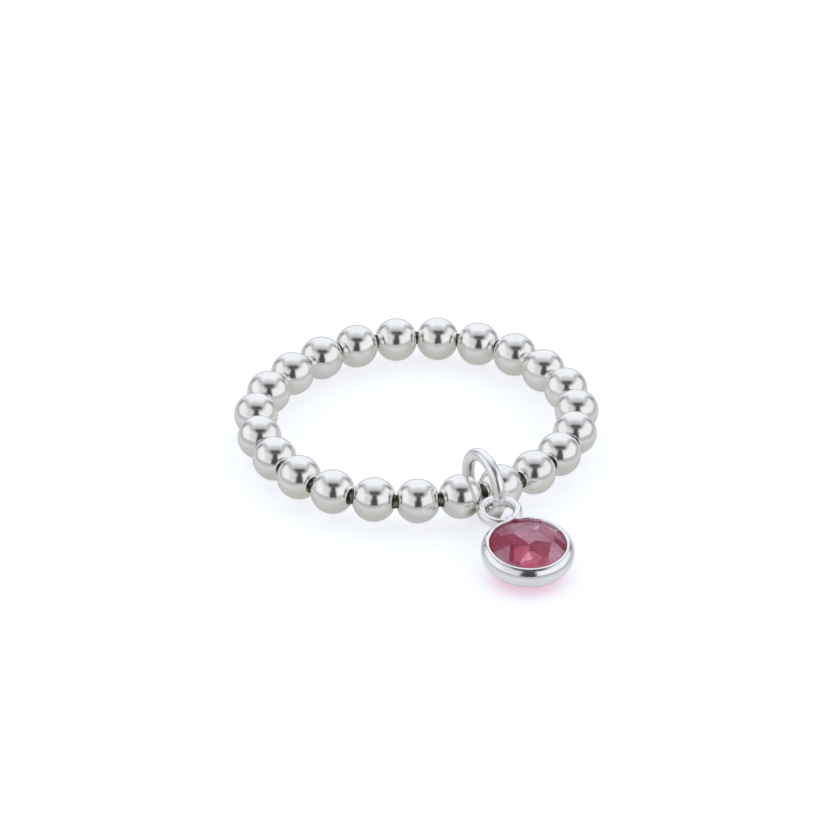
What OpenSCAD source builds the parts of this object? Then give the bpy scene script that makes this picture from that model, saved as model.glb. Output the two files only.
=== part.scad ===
// Stretch ring for a finger: round metal beads on an elastic loop. An upright jump ring
// goes round the elastic, and through a small loop that is soldered to a round setting.
// The setting holds a round cut stone and lies in front of the band, leaning forwards.
// Millimetres, +Z up. The ring lies on a surface at z = 0, and the origin is there,
// in the middle of the finger hole. The stone lies towards -Y.

/* [Beads] */
// Number of beads on the elastic
bead_count = 23; // [20:1:26]
// Diameter of one bead
bead_d = 3; // [2.6:0.1:3]
// Step from one bead to the next
bead_pitch = 2.92; // [2.9:0.01:3.1]
// Diameter of the hole through a bead
hole_d = 1.1; // [1.05:0.05:1.15]
// Diameter of the eased mouth of that hole
mouth_d = 1.2; // [1.18:0.02:1.4]

/* [Band] */
// Thickness of the elastic
elastic_d = 1; // [0.4:0.1:1]
// Room that the jump ring takes between the first and the last bead
ring_room = 0.04; // [0:0.02:0.3]
// How far the band is pulled oval
oval = 0.33; // [0:0.03:0.6]
// Direction of the oval's long side
oval_turn = 13.5; // [-90:0.5:90]
// How far the band is pulled to three blunt corners
egg = 0.09; // [0:0.03:0.3]
// Direction of the first of those corners
egg_turn = 81; // [0:1:120]
// How far the jump ring under the elastic lifts the front of the band
front_lift = 0.29; // [0:0.01:0.6]

/* [Jump ring] */
// Radius of the ring, to the middle of its wire
ring_r = 2.1; // [2:0.05:2.4]
// Thickness of its wire
ring_wire = 0.86; // [0.6:0.02:0.86]
// How far its middle hangs in front of the elastic
ring_forward = 0.25; // [0.2:0.05:0.4]
// Turn of its plane away from straight ahead
ring_turn = 4.7; // [0:0.1:8]

/* [Setting] */
// Outer radius of the setting
setting_r = 3.11; // [3.05:0.01:3.2]
// Distance of its middle in front of the jump ring's middle
setting_forward = 6.69; // [6.65:0.01:6.72]
// Sideways place of its middle
setting_x = 0.08; // [0:0.02:0.1]
// Angle that it leans forwards
lean = 6.1; // [0:0.1:8]
// Direction in which it leans
lean_turn = -105.6; // [-110:0.1:-90]
// Height of the wall from its widest part to the back rim
back_h = 1.07; // [1:0.01:1.1]
// Outer radius of the flat back rim
foot_r = 2.1; // [2:0.02:2.2]
// Height of the lip above the widest part
lip_h = 0.644; // [0.6:0.01:0.7]
// Outer radius of the lip
lip_r = 2.75; // [2.7:0.01:2.8]
// Width of the lip
lip_w = 0.18; // [0.15:0.01:0.2]
// Radius of the hole in the back
back_hole_r = 1.85; // [1.5:0.05:1.9]

/* [Loop] */
// Radius of the soldered loop, to the middle of its wire
loop_r = 1.21; // [1.15:0.01:1.25]
// Thickness of the loop's wire, in its own plane
loop_wire = 0.61; // [0.55:0.01:0.61]
// Extra height of the wire across its plane
loop_flat = 0.1; // [0:0.02:0.1]
// Distance of the loop's middle from the setting's middle
loop_reach = 4.35; // [4.3:0.01:4.37]
// Height of the loop above the widest part of the setting
loop_h = 0.06; // [0:0.01:0.1]

/* [Stone] */
// Radius of the stone at its girdle
stone_r = 2.62; // [2.55:0.01:2.62]
// Radius of the flat table
table_r = 1.45; // [1:0.05:1.6]
// Height of the table above the girdle
crown_h = 0.245; // [0.15:0.005:0.3]
// Depth of the point below the girdle
pavilion_h = 1; // [0.6:0.05:1]
// Thickness of the girdle
girdle_h = 0.125; // [0.1:0.005:0.13]
// Depth of the top of the girdle below the lip
girdle_drop = 0.27; // [0.25:0.01:0.29]
// Turn of the facets about the stone's axis
stone_turn = 16; // [0:1:45]

/* [Hidden] */
$fn = 96;

function bead_name(k) = str("bead_", k < 10 ? "0" : "", k);

gap = 0.03;          // room between the stone and the metal round it
cut = 0.5;           // how far a cutting tool runs past what it cuts
elastic_sides = 8;
wall_steps = 8;      // straight steps in each curve of the setting's wall
mains = 8;           // main facets of the crown, and of the pavilion
silver = "#c9ccd1";
crimson = "#a5304f";

// The band: a circle pulled oval and then to three blunt corners. Its beads keep their
// step along it, measured from the middle of the jump ring.
band_r = (bead_count * bead_pitch + ring_room) / (2 * PI);
chord_gain = 1 + pow(bead_pitch / band_r, 2) / 24;
degrees_per_mm = 180 / PI / band_r;

// Beads that sit off that curve: number of the bead, distance outwards
sway = [
    [4, 0.09],
    [5, 0.07],
    [7, -0.13],
    [14, 0.07],
    [15, 0.29],
    [16, 0.38],
    [17, 0.14],
    [18, -0.05],
    [19, -0.07],
];
sway_by_bead = [for (k = [0 : bead_count]) let (found = [for (row = sway) if (row[0] == k) row[1]])
    len(found) > 0 ? found[0] : 0];

function curve_r(a) = (band_r + oval * cos(2 * (a - oval_turn)) + egg * cos(3 * (a - egg_turn))) * chord_gain;

function bead_angle(k) =
    let (even = -90 + ((k - 0.5) * bead_pitch + ring_room / 2) * degrees_per_mm)
    even - (oval / 2 * sin(2 * (even - oval_turn)) + egg / 3 * sin(3 * (even - egg_turn))) * degrees_per_mm;

flat_places = [for (k = [1 : bead_count])
    (curve_r(bead_angle(k)) + sway_by_bead[k]) * [cos(bead_angle(k)), sin(bead_angle(k))]];
back_y = max([for (p = flat_places) p[1]]);
front_y = min([for (p = flat_places) p[1]]);

// Middle of each bead: the back one lies on the surface, and the front is lifted
beads = [for (p = flat_places)
    [p[0], p[1], bead_d / 2 + front_lift * (back_y - p[1]) / (back_y - front_y)]];

function around(list, i) = list[(i + len(list)) % len(list)];
function unit(v) = v / norm(v);
bead_axes = [for (i = [0 : bead_count - 1]) unit(around(beads, i + 1) - around(beads, i - 1))];

// The jump ring stands on its edge
ring_at = [0, -curve_r(-90) - ring_forward, ring_r + ring_wire / 2];

// The setting's wall is an ellipse below its widest part and a circle above it. Leaning,
// it touches the surface with the front of its back rim.
wall_w = setting_r - foot_r;
lip_in = setting_r - lip_r;
top_curve_r = (pow(lip_in, 2) + pow(lip_h, 2)) / (2 * lip_in);
setting_z = foot_r * sin(lean) + norm([wall_w * sin(lean), back_h * cos(lean)]);
setting_at = [setting_x, ring_at[1] - setting_forward, setting_z];

// Heights in the setting, from its widest part: the stone's crown starts just below
// the lip's inner edge
girdle_top = lip_h - girdle_drop;
girdle_low = girdle_top - girdle_h;
pocket_r = stone_r + gap;
pavilion_slope = pavilion_h / stone_r;
function seat_z(r) = girdle_low - gap - (stone_r - r) * pavilion_slope;

module setting_place() {
    translate(setting_at)
        rotate([0, 0, lean_turn])
            rotate([0, lean, 0])
                rotate([0, 0, -lean_turn])
                    children();
}

module bead(k) {
    axis = bead_axes[k - 1];
    mouth_z = sqrt(pow(bead_d, 2) - pow(mouth_d, 2)) / 2;
    ease_h = mouth_d - hole_d;
    color(silver)
        translate(beads[k - 1])
            rotate([0, acos(axis[2]), atan2(axis[1], axis[0])])
                difference() {
                    sphere(d = bead_d);
                    cylinder(d = hole_d, h = bead_d + cut, center = true);
                    for (side = [0, 1])
                        mirror([0, 0, side])
                            translate([0, 0, mouth_z - ease_h])
                                cylinder(d1 = hole_d, d2 = mouth_d + ease_h, h = 2 * ease_h);
                }
}

// One polyhedron, with a ring of points where the elastic enters and leaves each bead
module elastic() {
    half_run = sqrt(pow(bead_d, 2) - pow(mouth_d, 2)) / 2;
    stations = [for (i = [0 : bead_count - 1], end = [-1, 1])
        [beads[i] + end * half_run * bead_axes[i], bead_axes[i]]];
    points = [for (s = stations)
        let (side = unit(cross([0, 0, 1], s[1])), up = cross(s[1], side))
        for (j = [0 : elastic_sides - 1])
            let (a = 360 * (j + 0.5) / elastic_sides)
            s[0] + elastic_d / 2 * (cos(a) * side + sin(a) * up)];
    faces = [for (i = [0 : len(stations) - 1], j = [0 : elastic_sides - 1])
        let (
            next_i = (i + 1) % len(stations),
            next_j = (j + 1) % elastic_sides,
            a = i * elastic_sides + j,
            b = i * elastic_sides + next_j,
            c = next_i * elastic_sides + next_j,
            d = next_i * elastic_sides + j
        )
        for (face = [[a, b, c], [a, c, d]]) face];
    color("#3a332d")
        polyhedron(points, faces);
}

module jump_ring() {
    color(silver)
        translate(ring_at)
            rotate([0, 90, ring_turn])
                rotate_extrude()
                    translate([ring_r, 0])
                        circle(d = ring_wire);
}

// Half of the setting's section, turned about its axis
module setting_section() {
    below = [for (i = [0 : wall_steps])
        let (a = -90 + 90 * i / wall_steps)
        [foot_r + wall_w * cos(a), back_h * sin(a)]];
    top_angle = asin(lip_h / top_curve_r);
    above = [for (i = [1 : wall_steps])
        let (a = top_angle * i / wall_steps)
        [setting_r - top_curve_r * (1 - cos(a)), top_curve_r * sin(a)]];
    lip_crown = [[lip_r - lip_w / 2, lip_h + gap]];
    lip_edge_r = lip_r - lip_w;
    inside = [
        [lip_edge_r, lip_h],
        [lip_edge_r, girdle_top + 2 * gap],
        [pocket_r, girdle_top + gap],
        [pocket_r, seat_z(pocket_r)],
        [back_hole_r, seat_z(back_hole_r)],
        [back_hole_r, -back_h],
    ];
    polygon(concat(below, above, lip_crown, inside));
}

module loop_section() {
    for (side = [-1, 1])
        translate([loop_r, side * loop_flat / 2])
            circle(d = loop_wire);
    translate([loop_r - loop_wire / 2, -loop_flat / 2])
        square([loop_wire, loop_flat]);
}

module setting() {
    color(silver)
        setting_place() {
            rotate_extrude()
                setting_section();
            translate([0, loop_reach, loop_h])
                rotate_extrude()
                    loop_section();
        }
}

// A round brilliant: table, stars, mains and halves above the girdle, mains and halves
// below it, meeting at a point
module stone() {
    step = 360 / mains;
    ease = cos(step / 2);
    star_r = 2;
    lower_r = 0.8;
    crown_slope = crown_h / (stone_r - table_r);
    star_z = girdle_top + crown_slope * (stone_r - star_r * ease);
    lower_z = girdle_low - pavilion_h + pavilion_slope * lower_r * ease;
    function ring(r, z, n, first) = [for (i = [0 : n - 1])
        let (a = first + 360 * i / n) [r * cos(a), r * sin(a), z]];
    points = concat(
        ring(table_r, girdle_top + crown_h, mains, 0),
        ring(star_r, star_z, mains, step / 2),
        ring(stone_r, girdle_top, 2 * mains, 0),
        ring(stone_r, girdle_low, 2 * mains, 0),
        ring(lower_r, lower_z, mains, step / 2),
        [[0, 0, girdle_low - pavilion_h]]
    );
    star = mains;
    top = 2 * mains;
    low = 4 * mains;
    lower = 6 * mains;
    point = 7 * mains;
    table = [[for (i = [mains - 1 : -1 : 0]) i]];
    sides = [for (i = [0 : mains - 1])
        let (
            n = (i + 1) % mains,
            p = (i + mains - 1) % mains,
            g = 2 * i,
            h = 2 * i + 1,
            m = 2 * n
        )
        for (face = [
            [i, n, star + i],
            [i, star + i, top + g, star + p],
            [star + i, top + h, top + g],
            [star + i, top + m, top + h],
            [top + g, top + h, low + h, low + g],
            [top + h, top + m, low + m, low + h],
            [lower + i, low + g, low + h],
            [lower + i, low + h, low + m],
            [point, lower + p, low + g, lower + i],
        ]) face];
    color(crimson)
        setting_place()
            rotate([0, 0, stone_turn])
                polyhedron(points, concat(table, sides));
}

for (k = [1 : bead_count])
    bead(k);
elastic();
jump_ring();
setting();
stone();
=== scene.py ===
import math

import bmesh
import bpy
from mathutils import Matrix, Vector


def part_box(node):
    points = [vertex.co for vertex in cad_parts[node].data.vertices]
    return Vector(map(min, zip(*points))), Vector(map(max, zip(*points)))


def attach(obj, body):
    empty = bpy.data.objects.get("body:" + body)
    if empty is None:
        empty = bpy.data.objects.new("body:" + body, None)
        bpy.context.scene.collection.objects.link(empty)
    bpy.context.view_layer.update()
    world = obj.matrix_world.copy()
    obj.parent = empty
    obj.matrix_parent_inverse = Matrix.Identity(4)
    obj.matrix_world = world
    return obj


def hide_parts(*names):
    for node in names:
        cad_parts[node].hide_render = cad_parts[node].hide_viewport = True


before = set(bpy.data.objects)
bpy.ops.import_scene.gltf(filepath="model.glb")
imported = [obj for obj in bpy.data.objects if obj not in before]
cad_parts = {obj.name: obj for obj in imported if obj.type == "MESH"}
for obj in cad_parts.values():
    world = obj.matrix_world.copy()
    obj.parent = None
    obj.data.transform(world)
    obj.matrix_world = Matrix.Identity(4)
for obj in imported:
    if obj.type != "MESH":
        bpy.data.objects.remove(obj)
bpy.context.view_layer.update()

# Dresses the stretch ring: polished beads on their elastic, the jump ring, the setting with
# its soldered loop, and the cut stone. The frame is in metres, so lengths are so many mm.
mm = 0.001
hair = 1e-5 * mm         # points closer than this are merged
scene = bpy.context.scene


# Camera, at the photo's angle to the ring
cameraSet = {
    "azimuth": -25.01,       # degrees, 0 looks along +Y
    "elevation": 32.48,
    "roll": 0.83,
    "distance": 349.35 * mm,
    "lens": 217.9,           # on a 36 mm wide sensor
    "shift": (0.00308, 0.02182),
}


def makeCamera(c):
    az, el = math.radians(c["azimuth"]), math.radians(c["elevation"])
    back = Vector((math.sin(az) * math.cos(el), -math.cos(az) * math.cos(el), math.sin(el)))
    data = bpy.data.cameras.new("camera")
    data.lens = c["lens"]
    data.sensor_width = 36
    data.shift_x, data.shift_y = c["shift"]
    data.clip_start = 0.01
    cam = bpy.data.objects.new("camera", data)
    turn = back.to_track_quat("Z", "Y") @ Matrix.Rotation(math.radians(c["roll"]), 3, "Z").to_quaternion()
    cam.matrix_world = Matrix.Translation(back * c["distance"]) @ turn.to_matrix().to_4x4()
    scene.collection.objects.link(cam)
    scene.camera = cam
    print("camera placed")


makeCamera(cameraSet)


# Small helpers for node trees
def addNode(tree, kind, **values):
    node = tree.nodes.new(kind)
    for name, value in values.items():
        setattr(node, name, value)
    return node


def plug(tree, socket, value):         # a number, a colour or another node's output
    if isinstance(value, bpy.types.NodeSocket):
        tree.links.new(value, socket)
    elif isinstance(value, tuple):
        socket.default_value = (*value, 1)
    else:
        socket.default_value = value


def maths(tree, operation, *inputs):
    node = addNode(tree, "ShaderNodeMath", operation=operation)
    for socket, value in zip(node.inputs, inputs):
        plug(tree, socket, value)
    return node.outputs[0]


def fade(tree, value, low, high):      # 0 below low, 1 above high, smooth between
    node = addNode(tree, "ShaderNodeMapRange", interpolation_type="SMOOTHSTEP")
    plug(tree, node.inputs["Value"], value)
    plug(tree, node.inputs["From Min"], low)
    plug(tree, node.inputs["From Max"], high)
    return node.outputs["Result"]


def mixColor(tree, factor, a, b, blend="MIX"):
    node = addNode(tree, "ShaderNodeMix", data_type="RGBA", blend_type=blend)
    for socket, value in zip((node.inputs["Factor"], node.inputs[6], node.inputs[7]), (factor, a, b)):
        plug(tree, socket, value)
    return node.outputs[2]


def noise(tree, coords, scale, detail=2):
    node = addNode(tree, "ShaderNodeTexNoise")
    node.inputs["Scale"].default_value = scale
    node.inputs["Detail"].default_value = detail
    tree.links.new(coords.outputs["Object"], node.inputs["Vector"])
    return node.outputs["Fac"]


# The light tent round the ring. A direction is told by how far it goes sideways (-1 to 1)
# and by its turn over the top: 0 is the horizon below the camera, 90 overhead, 180 behind.
tentSet = {
    "cloth": (0.93, 0.95, 1.00),
    "backdrop": (1, 1, 1),             # what the camera sees past the ground
    # patch: sideways from, to, softness; turn from, to, softness; colour; on both sides
    "patches": [
        ("far wall", 0, 2, 0.1, 162, 400, 25, (0.52, 0.52, 0.55), True),
        ("arms", 0.25, 0.66, 0.14, 66, 86, 14, (0.33, 0.33, 0.34), True),
        ("seams", 0.40, 0.70, 0.10, 80, 300, 14, (0.50, 0.50, 0.53), True),
        ("knots", 0.60, 0.76, 0.08, 148, 180, 12, (0.24, 0.24, 0.26), True),
        ("edge", -0.56, 0.56, 0.10, 82, 300, 10, (0.58, 0.59, 0.63), False),
        ("sheet", -0.50, 0.50, 0.09, 103, 300, 18, (0.94, 0.98, 1.06), False),
        ("ground line", -2, 2, 0.1, -20, 6, 10, (0.34, 0.34, 0.34), False),
        ("left window", -0.75, -0.20, 0.12, 14, 60, 12, (0.72, 0.73, 0.76), False),
        ("right window", 0.50, 0.82, 0.14, 15, 52, 14, (0.96, 0.96, 0.97), False),
        ("opening top", -0.38, 0.52, 0.14, 55, 80, 10, (0.06, 0.06, 0.058), False),
        ("opening", -0.17, 0.29, 0.09, -20, 60, 8, (0.06, 0.062, 0.064), False),
        ("opening foot", -0.27, 0.35, 0.09, -20, 34, 12, (0.055, 0.058, 0.062), False),
    ],
}


def makeTent(t):
    world = bpy.data.worlds.new("tent")
    scene.world = world
    world.use_nodes = True
    tree = world.node_tree
    tree.nodes.clear()
    coords = addNode(tree, "ShaderNodeTexCoord")
    turn = addNode(tree, "ShaderNodeMapping", vector_type="POINT")
    turn.inputs["Rotation"].default_value = (0, 0, -math.radians(cameraSet["azimuth"]))
    tree.links.new(coords.outputs["Generated"], turn.inputs["Vector"])
    split = addNode(tree, "ShaderNodeSeparateXYZ")
    tree.links.new(turn.outputs[0], split.inputs[0])
    sideways, away, up = split.outputs
    side = maths(tree, "ABSOLUTE", sideways)
    over = maths(tree, "ARCTAN2", up, maths(tree, "MULTIPLY", away, -1))
    over = maths(tree, "DEGREES", over)

    def band(value, low, high, soft):
        after = fade(tree, value, low - soft, low + soft)
        before = fade(tree, value, high + soft, high - soft)
        return maths(tree, "MULTIPLY", after, before)

    color = t["cloth"]
    for name, left, right, softSide, low, high, softTurn, tone, both in t["patches"]:
        inside = maths(tree, "MULTIPLY", band(side if both else sideways, left, right, softSide),
                       band(over, low, high, softTurn))
        color = mixColor(tree, inside, color, tone)
        color.node.label = name
    path = addNode(tree, "ShaderNodeLightPath")
    color = mixColor(tree, path.outputs["Is Camera Ray"], color, t["backdrop"])
    background = addNode(tree, "ShaderNodeBackground")
    tree.links.new(color, background.inputs["Color"])
    output = addNode(tree, "ShaderNodeOutputWorld")
    tree.links.new(background.outputs[0], output.inputs["Surface"])
    scene.view_settings.view_transform = "Standard"
    scene.view_settings.look = "None"
    print("light tent ready")


makeTent(tentSet)


# Mesh helpers
def finishMesh(bm, name, place=None):
    if place is not None:
        bmesh.ops.transform(bm, matrix=place, verts=bm.verts)
    mesh = bpy.data.meshes.new(name)
    bm.to_mesh(mesh)
    bm.free()
    obj = bpy.data.objects.new(name, mesh)
    scene.collection.objects.link(obj)
    return obj


def smoothByAngle(bm, limit):
    for face in bm.faces:
        face.smooth = True
    for edge in bm.edges:
        edge.smooth = edge.calc_face_angle(0) < math.radians(limit)


def addPiece(obj, node, material):
    obj.data.materials.append(material)
    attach(obj, "root")
    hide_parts(node)


def middle(node):
    low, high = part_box(node)
    return (low + high) / 2


def turned(x, y, z, degrees, axis):    # a move, with a turn about one axis
    return Matrix.Translation((x, y, z)) @ Matrix.Rotation(math.radians(degrees), 4, axis)


# The white ground, with painted light and shade: an emission burns it out for the camera, which
# sees a faint cool shadow, the stone's painted pink glow and a painted grey shade round the setting.
# The metal sees it pale grey with painted shade, darker close to the band and far from it, darkest under the
# setting and its loop, and with a painted lighter ring round the setting.
groundSet = {
    "half": 1.5,             # metres, half its width
    # painted light: an emission on the ground, one for the camera and one for the metal, over its diffuse
    # paper
    "seen": {"paper": (0.67, 0.685, 0.73), "light": (0.60, 0.61, 0.63)},
    "metal": {"paper": (0.32, 0.32, 0.32), "light": (0.50, 0.505, 0.515)},
    # painted shade in the metal: darker near the band and far from it
    "nearBand": (0.39, 0.39, 0.38),
    "far": (0.30, 0.303, 0.31),
    "bandRadius": 11.2 * mm,
    "bandReach": (1.0 * mm, 6.0 * mm),
    "farReach": (5.0 * mm, 12.0 * mm),
    # places with painted light round the setting and painted shadows under it and under its loop: x, y,
    # reach from, to, and tone
    "places": [(0.1 * mm, -17.3 * mm, 4.5 * mm, 7.5 * mm, (0.53, 0.535, 0.55)),
               (0.1 * mm, -17.3 * mm, 1.8 * mm, 3.0 * mm, (0.05, 0.05, 0.04)),
               (0.2 * mm, -12.3 * mm, 0.3 * mm, 2.6 * mm, (0.05, 0.05, 0.02))],
    # painted light: the stone's pink glow on the ground, and a painted grey shade ring past it
    "glow": (0.50, 0.28, 0.36),
    "paintedShadeRing": (0.555, 0.545, 0.58),
    "glowAt": (-0.5 * mm, -18.4 * mm),
    "glowReach": (1.4 * mm, 3.2 * mm),
    "paintedShadeReach": (2.8 * mm, 4.8 * mm),
}


def awayFrom(tree, coords, x, y):      # distance from a place on the ground
    flat = addNode(tree, "ShaderNodeVectorMath", operation="SUBTRACT")
    tree.links.new(coords.outputs["Object"], flat.inputs[0])
    flat.inputs[1].default_value = (x, y, 0)
    length = addNode(tree, "ShaderNodeVectorMath", operation="LENGTH")
    tree.links.new(flat.outputs[0], length.inputs[0])
    return length.outputs["Value"]


def makeGround(g):
    bm = bmesh.new()
    bmesh.ops.create_grid(bm, x_segments=1, y_segments=1, size=g["half"])
    ground = finishMesh(bm, "ground")
    mat = bpy.data.materials.new("whiteGround")
    mat.use_nodes = True
    tree = mat.node_tree
    tree.nodes.clear()
    coords = addNode(tree, "ShaderNodeTexCoord")
    # painted light and shade seen by the camera: the pink glow, then the grey shade ring
    fromStone = awayFrom(tree, coords, *g["glowAt"])
    paintedShadeRing = mixColor(tree, fade(tree, fromStone, *g["paintedShadeReach"]), g["paintedShadeRing"], g["seen"]["light"])
    seenLight = mixColor(tree, fade(tree, fromStone, *g["glowReach"]), g["glow"], paintedShadeRing)
    fromBand = maths(tree, "SUBTRACT", awayFrom(tree, coords, 0, 0), g["bandRadius"])
    fromBand = maths(tree, "ABSOLUTE", fromBand)
    # painted shade and light for the metal: darker near the band and far from it, then the places
    metalLight = mixColor(tree, fade(tree, fromBand, *g["bandReach"]), g["nearBand"], g["metal"]["light"])
    metalLight = mixColor(tree, fade(tree, fromBand, *g["farReach"]), metalLight, g["far"])
    for x, y, start, end, tone in g["places"]:
        metalLight = mixColor(tree, fade(tree, awayFrom(tree, coords, x, y), start, end), tone, metalLight)
    sums = []
    for color, light in ((g["metal"]["paper"], metalLight), (g["seen"]["paper"], seenLight)):
        paper = addNode(tree, "ShaderNodeBsdfDiffuse")
        plug(tree, paper.inputs["Color"], color)
        shine = addNode(tree, "ShaderNodeEmission")
        plug(tree, shine.inputs["Color"], light)
        both = addNode(tree, "ShaderNodeAddShader")
        tree.links.new(paper.outputs[0], both.inputs[0])
        tree.links.new(shine.outputs[0], both.inputs[1])
        sums.append(both.outputs[0])
    path = addNode(tree, "ShaderNodeLightPath")
    mix = addNode(tree, "ShaderNodeMixShader")
    tree.links.new(path.outputs["Is Camera Ray"], mix.inputs[0])
    tree.links.new(sums[0], mix.inputs[1])
    tree.links.new(sums[1], mix.inputs[2])
    output = addNode(tree, "ShaderNodeOutputMaterial")
    tree.links.new(mix.outputs[0], output.inputs["Surface"])
    ground.data.materials.append(mat)
    print("ground ready")


makeGround(groundSet)


# Silver: bright polish on the beads and the setting's wall, a softer tumbled finish on the
# wire. Fine rubbing varies the gloss, and a slow wave bends the reflections a little.
silverSet = {
    "polished": {"roughness": 0.17, "wave": 0.6, "color": (0.93, 0.92, 0.895), "worn": (0.89, 0.875, 0.84)},
    "bright": {"roughness": 0.11, "wave": 0.6, "color": (0.94, 0.945, 0.955), "worn": (0.90, 0.905, 0.91)},
    "tumbled": {"roughness": 0.23, "wave": 0.8, "color": (0.96, 0.96, 0.955), "worn": (0.92, 0.915, 0.90)},
    "rubScale": 5000,
    "rubDetail": 4,
    "rubSpread": (0.7, 1.3),           # how far rubbing takes the roughness down and up
    "waveScale": 700,
    "waveDepth": 0.02 * mm,
    "wornFade": (0.35, 0.75),
}


def makeSilver(name, s, finish):
    mat = bpy.data.materials.new(name)
    mat.use_nodes = True
    tree = mat.node_tree
    shader = tree.nodes["Principled BSDF"]
    shader.inputs["Metallic"].default_value = 1
    coords = addNode(tree, "ShaderNodeTexCoord")
    slow = noise(tree, coords, s["waveScale"])
    tone = mixColor(tree, fade(tree, slow, *s["wornFade"]), finish["color"], finish["worn"])
    tree.links.new(tone, shader.inputs["Base Color"])
    smoother, rougher = s["rubSpread"]
    spread = addNode(tree, "ShaderNodeMapRange")
    tree.links.new(noise(tree, coords, s["rubScale"], s["rubDetail"]), spread.inputs["Value"])
    spread.inputs["To Min"].default_value = finish["roughness"] * smoother
    spread.inputs["To Max"].default_value = finish["roughness"] * rougher
    tree.links.new(spread.outputs["Result"], shader.inputs["Roughness"])
    bump = addNode(tree, "ShaderNodeBump")
    bump.inputs["Strength"].default_value = finish["wave"]
    bump.inputs["Distance"].default_value = s["waveDepth"]
    tree.links.new(slow, bump.inputs["Height"])
    tree.links.new(bump.outputs[0], shader.inputs["Normal"])
    return mat


polishedSilver = makeSilver("polishedSilver", silverSet, silverSet["polished"])
brightSilver = makeSilver("brightSilver", silverSet, silverSet["bright"])
tumbledSilver = makeSilver("tumbledSilver", silverSet, silverSet["tumbled"])


# Beads: a ball with a drilled hole whose mouth is eased over
beadSet = {
    "radius": 1.5 * mm,
    "holeRadius": 0.50 * mm,
    "mouthRadius": 0.56 * mm,
    "ease": 0.07 * mm,
    "easeSteps": 3,
    "arcSteps": 44,
    "turns": 88,
    "sharpAngle": 50,
}
beadNames = sorted(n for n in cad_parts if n.startswith("bead_"))
beadMiddles = [middle(n) for n in beadNames]


def beadAxis(i):
    ahead = beadMiddles[(i + 1) % len(beadMiddles)]
    return (ahead - beadMiddles[i - 1]).normalized()


def makeBead(i, b):
    mouthZ = math.sqrt(b["radius"]**2 - b["mouthRadius"]**2)
    arc = 2 * math.atan2(mouthZ, b["mouthRadius"])
    bm = bmesh.new()
    top = bm.verts.new((b["mouthRadius"], 0, mouthZ))
    bmesh.ops.spin(bm, geom=[top], cent=(0, 0, 0), axis=(0, 1, 0), angle=arc, steps=b["arcSteps"])
    rim = sorted(bm.verts, key=lambda v: v.co.z)
    boreEnd = mouthZ - 2 * b["ease"]
    bore = [bm.verts.new((b["holeRadius"], 0, z)) for z in (boreEnd, -boreEnd)]
    for pair in ((rim[-1], bore[0]), bore, (bore[1], rim[0])):
        bm.edges.new(pair)
    bmesh.ops.bevel(bm, geom=[rim[0], rim[-1], *bore], offset=b["ease"], affect="VERTICES",
                    segments=b["easeSteps"], profile=0.5, material=-1)
    bmesh.ops.spin(bm, geom=bm.verts[:] + bm.edges[:], cent=(0, 0, 0), axis=(0, 0, 1),
                   angle=2 * math.pi, steps=b["turns"], use_merge=True)
    bmesh.ops.remove_doubles(bm, verts=bm.verts, dist=hair)
    bmesh.ops.recalc_face_normals(bm, faces=bm.faces)
    smoothByAngle(bm, b["sharpAngle"])
    turn = beadAxis(i).to_track_quat("Z", "Y").to_matrix().to_4x4()
    bead = finishMesh(bm, "polished_" + beadNames[i], Matrix.Translation(beadMiddles[i]) @ turn)
    addPiece(bead, beadNames[i], polishedSilver)


for i in range(len(beadNames)):
    makeBead(i, beadSet)
print("beads made:", len(beadNames))


# Elastic: a round covered thread, straight inside each bead
elasticSet = {
    "radius": 0.45 * mm,
    "sides": 20,
    "color": (0.10, 0.093, 0.07),
    "faded": (0.12, 0.085, 0.067),     # here and there it has faded to a reddish brown
    "dark": (0.008, 0.008, 0.005),
    "paintedGlow": 0.95,              # painted light: the thread glows in its own colour, lifting it out of the shade between the beads
    "ribScale": 2400,
    "ribDetail": 3,
    "ribFade": (0.42, 0.66),
    "ribDepth": 0.03 * mm,
    "fadeScale": 300,
    "fadeRange": (0.45, 0.68),
    "roughness": 0.6,
    "specular": 0.3,
    "sharpAngle": 60,
}


def makeElasticMat(e):
    mat = bpy.data.materials.new("brownElastic")
    mat.use_nodes = True
    tree = mat.node_tree
    shader = tree.nodes["Principled BSDF"]
    shader.inputs["Roughness"].default_value = e["roughness"]
    shader.inputs["Specular IOR Level"].default_value = e["specular"]
    coords = addNode(tree, "ShaderNodeTexCoord")
    ribs = noise(tree, coords, e["ribScale"], e["ribDetail"])
    fading = fade(tree, noise(tree, coords, e["fadeScale"]), *e["fadeRange"])
    color = mixColor(tree, fading, e["color"], e["faded"])
    color = mixColor(tree, fade(tree, ribs, *e["ribFade"]), e["dark"], color)
    tree.links.new(color, shader.inputs["Base Color"])
    # painted light: the thread's colour is also its glow
    tree.links.new(color, shader.inputs["Emission Color"])
    shader.inputs["Emission Strength"].default_value = e["paintedGlow"]
    bump = addNode(tree, "ShaderNodeBump")
    bump.inputs["Distance"].default_value = e["ribDepth"]
    tree.links.new(ribs, bump.inputs["Height"])
    tree.links.new(bump.outputs[0], shader.inputs["Normal"])
    return mat


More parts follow.
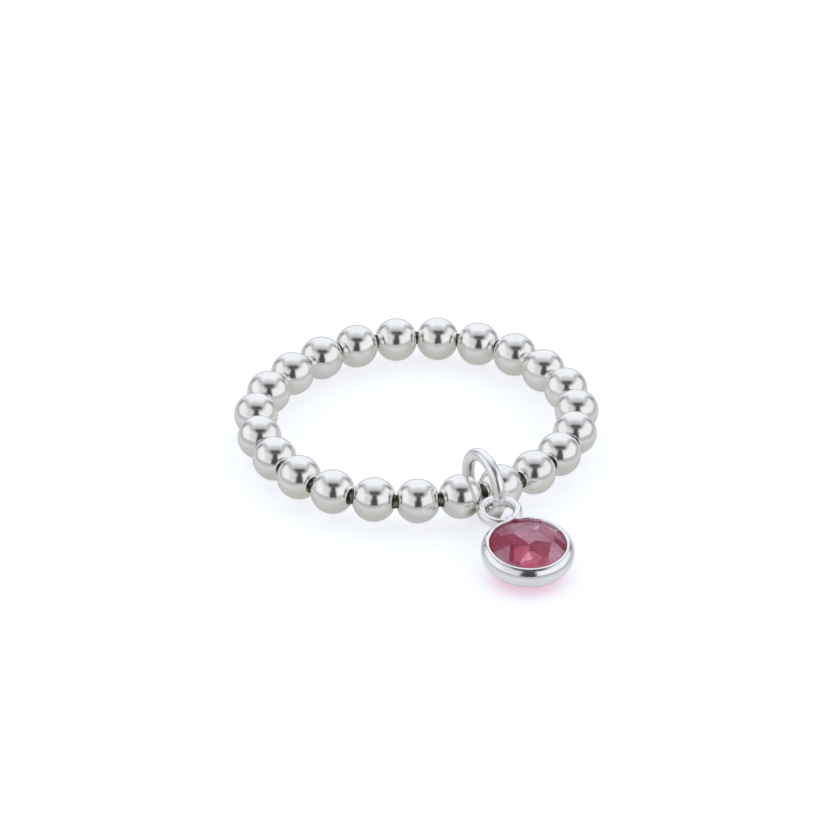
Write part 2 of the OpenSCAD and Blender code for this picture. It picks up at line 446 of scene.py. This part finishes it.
def makeElastic(e):
    halfRun = math.sqrt(beadSet["radius"]**2 - beadSet["mouthRadius"]**2)
    places = []
    for i, centre in enumerate(beadMiddles):
        turn = beadAxis(i).to_track_quat("Z", "Y").to_matrix().to_4x4()
        for end in (-1, 1):
            places.append(Matrix.Translation(centre + end * halfRun * beadAxis(i)) @ turn)
    bm = bmesh.new()
    bmesh.ops.create_circle(bm, segments=e["sides"], radius=e["radius"], matrix=places[0])
    first = edges = bm.edges[:]
    for before, after in zip(places, places[1:]):
        made = bmesh.ops.extrude_edge_only(bm, edges=edges)["geom"]
        edges = [g for g in made if isinstance(g, bmesh.types.BMEdge)]
        bmesh.ops.transform(bm, matrix=after @ before.inverted(),
                            verts=[g for g in made if isinstance(g, bmesh.types.BMVert)])
    bmesh.ops.bridge_loops(bm, edges=first + edges)
    bmesh.ops.recalc_face_normals(bm, faces=bm.faces)
    smoothByAngle(bm, e["sharpAngle"])
    addPiece(finishMesh(bm, "elastic_thread"), "elastic", makeElasticMat(e))
    print("elastic made")


makeElastic(elasticSet)


# Jump ring: round wire in a closed ring that stands on its edge
jumpSet = {
    "radius": 2.1 * mm,
    "wire": 0.86 * mm,
    "turn": 4.7,             # degrees, how far it is turned about the upright
    "sides": 32,
    "steps": 160,
    "sharpAngle": 50,
}


def spinWire(bm, radius, wire, height, sides, steps):
    made = bmesh.ops.create_circle(bm, segments=sides, radius=wire / 2,
                                   matrix=turned(radius, 0, 0, 90, "X"))["verts"]
    for vert in made:                  # flat sides, where the wire is higher than it is wide
        if abs(vert.co.z) > hair / 10:
            vert.co.z += math.copysign((height - wire) / 2, vert.co.z)
    edges = {edge for vert in made for edge in vert.link_edges}
    bmesh.ops.spin(bm, geom=made + list(edges), cent=(0, 0, 0), axis=(0, 0, 1),
                   angle=2 * math.pi, steps=steps, use_merge=True)
    bmesh.ops.remove_doubles(bm, verts=bm.verts, dist=hair)
    bmesh.ops.recalc_face_normals(bm, faces=bm.faces)


def makeJumpRing(j):
    bm = bmesh.new()
    spinWire(bm, j["radius"], j["wire"], j["wire"], j["sides"], j["steps"])
    smoothByAngle(bm, j["sharpAngle"])
    place = turned(*middle("jump_ring"), j["turn"], "Z") @ Matrix.Rotation(math.pi / 2, 4, "Y")
    addPiece(finishMesh(bm, "wire_jump_ring", place), "jump_ring", tumbledSilver)
    print("jump ring made")


makeJumpRing(jumpSet)


# Setting: a turned wall with a rubbed lip, the soldered loop and a little solder between.
# Its sizes are in mm, as is its own space, which leans forwards.
settingSet = {
    "aside": 0.08,
    "forward": 6.69,         # in front of the jump ring's middle
    "lean": 6.1,             # degrees, and the direction it leans to
    "leanTurn": -105.6,
    "radius": 3.11,
    "footRadius": 2.1,
    "backHeight": 1.07,
    "lipHeight": 0.644,
    "lipRadius": 2.75,
    "lipWidth": 0.18,
    "lipCrown": 0.03,
    "lipRound": 0.05,        # how far the inner edge is rounded down
    "lipSteps": 7,
    "lipUnder": 0.03,        # height of its edge above the pocket
    "lipEven": 0.05,         # width of its outer part, which stays even
    "waves": [(0.006, 7, 0), (0.005, 17, 40)],     # unevenness: depth, times round, start in degrees
    "pocketRadius": 2.65,
    "pocketTop": 0.404,
    "seatTop": 0.23,
    "seatSlope": 0.3817,
    "holeRadius": 1.85,
    "wallSteps": 18,
    "turns": 192,
    # notches in the lip's inner edge: azimuth, half width in degrees, depth
    "notches": [(86, 6, 0.09), (47, 3, 0.05), (64, 3, 0.03),
                (120, 9, 0.03), (165, 6, 0.025), (250, 12, 0.012)],
    "loopRadius": 1.21,
    "loopWire": 0.61,
    "loopHeight": 0.71,
    "loopSides": 28,
    "loopSteps": 96,
    "loopAt": (0, 4.35, 0.06),
    # lumps of solder: where, and how far each reaches along x, y and z
    "solder": [((0.05, 3.22, 0.02), (0.62, 0.30, 0.36)), ((0.40, 3.27, 0.20), (0.24, 0.20, 0.25)),
               ((-0.02, 3.20, 0.24), (0.19, 0.17, 0.22)), ((-0.42, 3.27, 0.16), (0.26, 0.19, 0.22))],
    "solderDetail": 4,
    "joinWeld": 1e-4,        # merges slivers where the parts are joined
    "sharpAngle": 38,
    "tumbledFrom": 0.005,    # this far past the wall the finish changes
}


def settingPlace(s):
    lean = math.radians(s["lean"])
    ring = middle("jump_ring")
    rise = s["footRadius"] * math.sin(lean) + math.hypot(
        (s["radius"] - s["footRadius"]) * math.sin(lean), s["backHeight"] * math.cos(lean))
    turn = turned(s["aside"] * mm, ring.y - s["forward"] * mm, rise * mm, s["leanTurn"], "Z")
    tilt = Matrix.Rotation(lean, 4, "Y") @ Matrix.Rotation(math.radians(-s["leanTurn"]), 4, "Z")
    return turn @ tilt @ Matrix.Scale(mm, 4)


def wallSection(s):
    depth = s["radius"] - s["footRadius"]
    lipIn = s["radius"] - s["lipRadius"]
    topRadius = (lipIn**2 + s["lipHeight"]**2) / (2 * lipIn)
    topAngle = math.asin(s["lipHeight"] / topRadius)
    steps = s["wallSteps"]
    below = [(s["footRadius"] + depth * math.cos(a), s["backHeight"] * math.sin(a))
             for a in (-math.pi / 2 * (1 - i / steps) for i in range(steps + 1))]
    above = [(s["radius"] - topRadius * (1 - math.cos(a)), topRadius * math.sin(a))
             for a in (topAngle * i / steps for i in range(1, steps + 1))]
    half = s["lipWidth"] / 2
    crown = s["lipHeight"] + s["lipCrown"]
    lip = [(s["lipRadius"] - half * t, crown - s["lipCrown"] * (1 - t)**2) for t in (1 / 3, 2 / 3, 1)]
    lip += [(s["lipRadius"] - half * (1 + math.sin(a)), crown - s["lipRound"] * (1 - math.cos(a)))
            for a in (math.pi / 2 * i / s["lipSteps"] for i in range(1, s["lipSteps"] + 1))]
    edge = s["lipRadius"] - s["lipWidth"]
    seat = s["seatTop"] - (s["pocketRadius"] - s["holeRadius"]) * s["seatSlope"]
    inside = [(edge, s["pocketTop"] + s["lipUnder"]),
              (s["pocketRadius"], s["pocketTop"]), (s["pocketRadius"], s["seatTop"]),
              (s["holeRadius"], seat), (s["holeRadius"], -s["backHeight"])]
    return below + above + lip + inside


def makeWall(s):
    bm = bmesh.new()
    verts = [bm.verts.new((r, 0, z)) for r, z in wallSection(s)]
    for a, b in zip(verts, verts[1:] + verts[:1]):
        bm.edges.new((a, b))
    bmesh.ops.spin(bm, geom=bm.verts[:] + bm.edges[:], cent=(0, 0, 0), axis=(0, 0, 1),
                   angle=2 * math.pi, steps=s["turns"], use_merge=True)
    bmesh.ops.remove_doubles(bm, verts=bm.verts, dist=hair / mm)
    edge = s["lipRadius"] - s["lipWidth"]
    evenFrom = s["lipRadius"] - s["lipEven"]
    for vert in bm.verts:              # the rubbed edge isn't quite even
        radius = math.hypot(vert.co.x, vert.co.y)
        if vert.co.z < s["pocketTop"] + s["lipUnder"] / 2 or radius > evenFrom:
            continue
        angle = math.degrees(math.atan2(vert.co.y, vert.co.x)) % 360
        push = 0
        for deep, times, start in s["waves"]:
            push += deep * math.sin(math.radians(times * angle + start))
        for at, width, deep in s["notches"]:
            push += deep * max(0, 1 - abs(angle - at) / width)
        near = min(1, max(0, (evenFrom - radius) / (evenFrom - edge)))
        vert.co.x *= 1 + push * near / radius
        vert.co.y *= 1 + push * near / radius
    bmesh.ops.recalc_face_normals(bm, faces=bm.faces)
    return finishMesh(bm, "wall")


def makeLoop(s):
    bm = bmesh.new()
    spinWire(bm, s["loopRadius"], s["loopWire"], s["loopHeight"], s["loopSides"], s["loopSteps"])
    return finishMesh(bm, "loop", Matrix.Translation(s["loopAt"]))


def makeLump(at, size, detail):
    bm = bmesh.new()
    bmesh.ops.create_icosphere(bm, subdivisions=detail, radius=1)
    return finishMesh(bm, "solder", Matrix.Translation(at) @ Matrix.Diagonal((*size, 1)))


def makeSetting(s):
    setting = makeWall(s)
    for part in [makeLoop(s)] + [makeLump(*lump, s["solderDetail"]) for lump in s["solder"]]:
        join = setting.modifiers.new(part.name, "BOOLEAN")
        join.operation = "UNION"
        join.solver = "EXACT"
        join.object = part
    joined = setting.evaluated_get(bpy.context.evaluated_depsgraph_get())
    bm = bmesh.new()
    bm.from_mesh(joined.to_mesh())
    joined.to_mesh_clear()
    for join in list(setting.modifiers):
        part = join.object
        setting.modifiers.remove(join)
        bpy.data.objects.remove(part)
    bpy.data.objects.remove(setting)
    bmesh.ops.remove_doubles(bm, verts=bm.verts, dist=s["joinWeld"])
    smoothByAngle(bm, s["sharpAngle"])
    for face in bm.faces:              # the wall is bright, the loop and the solder are tumbled
        past = face.calc_center_median().xy.length - s["radius"]
        face.material_index = int(past > s["tumbledFrom"])
    whole = finishMesh(bm, "rubover_setting", settingPlace(s))
    addPiece(whole, "setting", brightSilver)
    whole.data.materials.append(tumbledSilver)
    print("setting made")


makeSetting(settingSet)


# Stone: a round cut, 16 sided at its edge. Below, mains and halves are cut to a point. The
# upper side is charted from what shows in the photo, in the setting's space (mm).
stoneSet = {
    "radius": 2.62,
    "tableRadius": 1.45,
    "crown": 0.22,
    "top": 0.399,            # height of the edge's top
    "edge": 0.15,
    "sides": 16,
    "turn": 16,
    "depth": 1.0,
    "halvesFrom": 0.8,       # radius where the lower halves start
    "roughness": 0.06,
    "ior": 1.76,
    "specular": 0.1,
    "paintedInnerGlow": 0.2,       # painted light: the stone glows in its painted tones, standing in for light that comes back through it
    "blend": 0.24,           # how far a tone runs into its neighbours at the corners
    # the stone's red with painted light: pale and bright tones paint reflections and light coming back
    # through it, deep ones painted shade
    "paintedTones": {
        "deep": (0.235, 0.008, 0.036),
        "crimson": (0.315, 0.040, 0.084),
        "red": (0.43, 0.080, 0.142),
        "rose": (0.52, 0.098, 0.168),
        "blush": (0.52, 0.138, 0.206),
        "bright": (0.63, 0.138, 0.226),
        "pink": (1.02, 0.350, 0.515),
        "dusty": (0.40, 0.155, 0.213),
        "lilac": (0.415, 0.196, 0.262),
        "mauve": (0.52, 0.252, 0.342),
        "pale": (0.63, 0.420, 0.525),
    },
    # mottling inside the stone: scale, detail, the noise's range and its darkest and lightest tint
    "mottling": [(900, 4, 0.25, 0.75, (0.84, 0.80, 0.81), (1.14, 1.18, 1.16)),
                 (2600, 3, 0.34, 0.66, (0.91, 0.86, 0.88), (1.09, 1.13, 1.11))],
    # corners inside the edge: name, place, lift from the even crown
    "corners": {
        "q0": (2.28, 0.45, 0), "q1": (2.02, 1.10, 0.01), "q2": (1.62, 1.66, 0),
        "q3": (0.60, 2.32, 0), "q4": (-0.25, 2.30, 0.01), "q5": (-1.25, 1.98, 0),
        "q6": (-2.05, 1.22, 0), "q7": (-2.38, 0.22, 0), "q8": (-2.30, -0.62, 0.01),
        "q9": (-1.90, -1.12, 0), "q10": (-1.15, -2.00, 0), "q11": (-0.38, -2.12, 0),
        "q12": (0.62, -2.05, 0), "q13": (1.40, -1.85, 0.01), "q14": (1.95, -1.42, 0),
        "q15": (2.34, -0.92, 0),
        "a": (0.08, -0.10, -0.03), "b": (-0.42, 1.25, 0.02), "c": (0.55, 0.08, 0.01),
        "d": (1.50, -0.47, 0), "e": (1.72, -0.40, 0.02), "f": (2.02, 0.22, 0.02),
        "i": (0.66, -1.72, 0.01), "i2": (0.25, -1.60, -0.01), "j": (-1.22, 0.22, 0.02),
        "k": (-0.98, 0.40, 0.03), "l": (-1.05, -0.12, 0), "n": (-1.58, -1.15, 0.02),
        "n2": (-1.36, -1.76, 0.02), "o": (-0.36, -0.78, 0.03), "p": (-1.30, -1.47, 0.03),
        "r": (-0.40, -1.52, 0), "s": (0.62, 1.60, 0.01), "tA": (0.82, 1.22, 0.02),
        "tC": (1.18, 0.98, 0.01), "w": (-0.75, 1.35, 0), "x": (-1.35, 1.42, 0.02),
        "y": (0.02, -0.90, 0.01), "m": (0.16, 2.40, 0),
    },
    # facets: painted tone, and the corners round it
    "facets": [
        ("mauve", "a c d tC tA b"), ("dusty", "d e f q0 q1 q2 tC"), ("pale", "tA tC q2"),
        ("lilac", "tA q2 q3 s"), ("lilac", "b tA s q3 m q4"), ("deep", "e q14 q15 f"), ("dusty", "f q15 q0"),
        ("dusty", "b q4 q5 w"), ("blush", "w q5 x"), ("deep", "x q5 q6"), ("crimson", "q6 x w k j q7"),
        ("crimson", "w b a k"), ("lilac", "q7 j q9 q8"), ("deep", "j k l n q9"), ("crimson", "k a l"),
        ("rose", "l a o p n"), ("red", "q9 n n2 q10"), ("crimson", "n p n2"), ("pink", "o r p"),
        ("bright", "p r q11 q10 n2"), ("blush", "o y i2 q11 r"), ("deep", "a y o"),
        ("crimson", "a y i2 i d c"), ("red", "i2 i q12 q11"), ("mauve", "i q12 q13 q14 e d"),
        ("deep", "q3 r3 m"),
    ],
    # painted tones round the edge, from the corners q0 and r0
    "edgeFacets": "pale mauve lilac dusty dusty crimson deep dusty "
                  "lilac lilac bright blush mauve lilac crimson dusty",
    "chippedFacet": (3, "m"),          # this edge facet starts at m, where a chip splits it
}


def cutAway(bm, azimuth, reach, height, slope):    # cut a sloping facet below the edge
    a = math.radians(azimuth)
    steep = math.atan(slope)
    normal = Vector((math.cos(a) * math.sin(steep), math.sin(a) * math.sin(steep), -math.cos(steep)))
    at = Vector((reach * math.cos(a), reach * math.sin(a), height))
    bmesh.ops.bisect_plane(bm, geom=bm.verts[:] + bm.edges[:] + bm.faces[:], dist=hair / mm,
                           plane_co=at, plane_no=normal, clear_outer=True)
    rim = [edge for edge in bm.edges if edge.is_boundary]
    bmesh.ops.holes_fill(bm, edges=rim, sides=0)


def makeStoneMat(s):
    mat = bpy.data.materials.new("redStone")
    mat.use_nodes = True
    tree = mat.node_tree
    shader = tree.nodes["Principled BSDF"]
    shader.inputs["Roughness"].default_value = s["roughness"]
    shader.inputs["IOR"].default_value = s["ior"]
    shader.inputs["Specular IOR Level"].default_value = s["specular"]
    shader.inputs["Emission Strength"].default_value = s["paintedInnerGlow"]
    # painted light: the facet tones, read from the stone's mesh
    paintedTones = addNode(tree, "ShaderNodeAttribute", attribute_name="paintedFacetLight")
    coords = addNode(tree, "ShaderNodeTexCoord")
    tone = paintedTones.outputs["Color"]
    for scale, detail, low, high, dark, light in s["mottling"]:
        cloud = mixColor(tree, fade(tree, noise(tree, coords, scale, detail), low, high), dark, light)
        tone = mixColor(tree, 1.0, tone, cloud, "MULTIPLY")
    tree.links.new(tone, shader.inputs["Base Color"])
    # painted light: the stone glows in the same painted tones
    tree.links.new(tone, shader.inputs["Emission Color"])
    return mat


def makeStone(s):
    low = s["top"] - s["edge"]
    sides = s["sides"]
    step = 360 / sides
    bm = bmesh.new()
    bmesh.ops.create_cone(bm, cap_ends=True, segments=sides, radius1=s["radius"], radius2=s["radius"],
                          depth=s["edge"] + s["depth"],
                          matrix=turned(0, 0, (s["top"] + low - s["depth"]) / 2, s["turn"], "Z"))
    mainSlope = s["depth"] / s["radius"]
    fall = s["depth"] - mainSlope * s["halvesFrom"] * math.cos(math.radians(step))
    halfReach = s["radius"] * math.cos(math.radians(step / 2))
    halfSlope = fall / (halfReach - s["halvesFrom"] * math.cos(math.radians(step / 2)))
    for k in range(sides // 2):
        cutAway(bm, s["turn"] + 2 * step * k, s["radius"], low, mainSlope)
    for k in range(sides):
        cutAway(bm, s["turn"] + step * (k + 0.5), halfReach, low, halfSlope)
    cap = max(bm.faces, key=lambda f: f.calc_center_median().z)
    bmesh.ops.delete(bm, geom=[cap], context="FACES_ONLY")
    ring = [v for v in bm.verts if v.co.z > low + s["edge"] / 2]
    corner = {}
    for k in range(sides):
        a = math.radians(s["turn"] + step * k)
        at = Vector((s["radius"] * math.cos(a), s["radius"] * math.sin(a), s["top"]))
        corner[f"r{k}"] = min(ring, key=lambda v: (v.co - at).length)
    slope = s["crown"] / (s["radius"] - s["tableRadius"])
    for name, (x, y, lift) in s["corners"].items():
        down = slope * max(0, math.hypot(x, y) - s["tableRadius"])
        corner[name] = bm.verts.new((x, y, s["top"] + s["crown"] - down + lift))
    # each facet gets a painted tone: its light, reflections and shade painted over the stone's red
    tone = bm.loops.layers.float_color.new("paintedFacetLight")
    for face in bm.faces:
        for loop in face.loops:
            loop[tone] = (*s["paintedTones"]["crimson"], 1)
    facets = list(s["facets"])
    chipped, chipCorner = s["chippedFacet"]
    for k, name in enumerate(s["edgeFacets"].split()):
        n = (k + 1) % sides
        start = chipCorner if k == chipped else f"q{k}"
        facets.append((name, f"{start} r{k} r{n} q{n}"))
    for name, corners in facets:
        face = bm.faces.new([corner[c] for c in corners.split()])
        for loop in face.loops:
            loop[tone] = (*s["paintedTones"][name], 1)
    around = {v: [loop[tone].copy() for loop in v.link_loops] for v in corner.values()}
    for vert, found in around.items():
        mean = sum(found, Vector((0, 0, 0, 0))) / len(found)
        for loop in vert.link_loops:
            loop[tone] = loop[tone].lerp(mean, s["blend"])
    bmesh.ops.recalc_face_normals(bm, faces=bm.faces)
    addPiece(finishMesh(bm, "cut_stone", settingPlace(settingSet)), "stone", makeStoneMat(s))
    print("stone made")


makeStone(stoneSet)
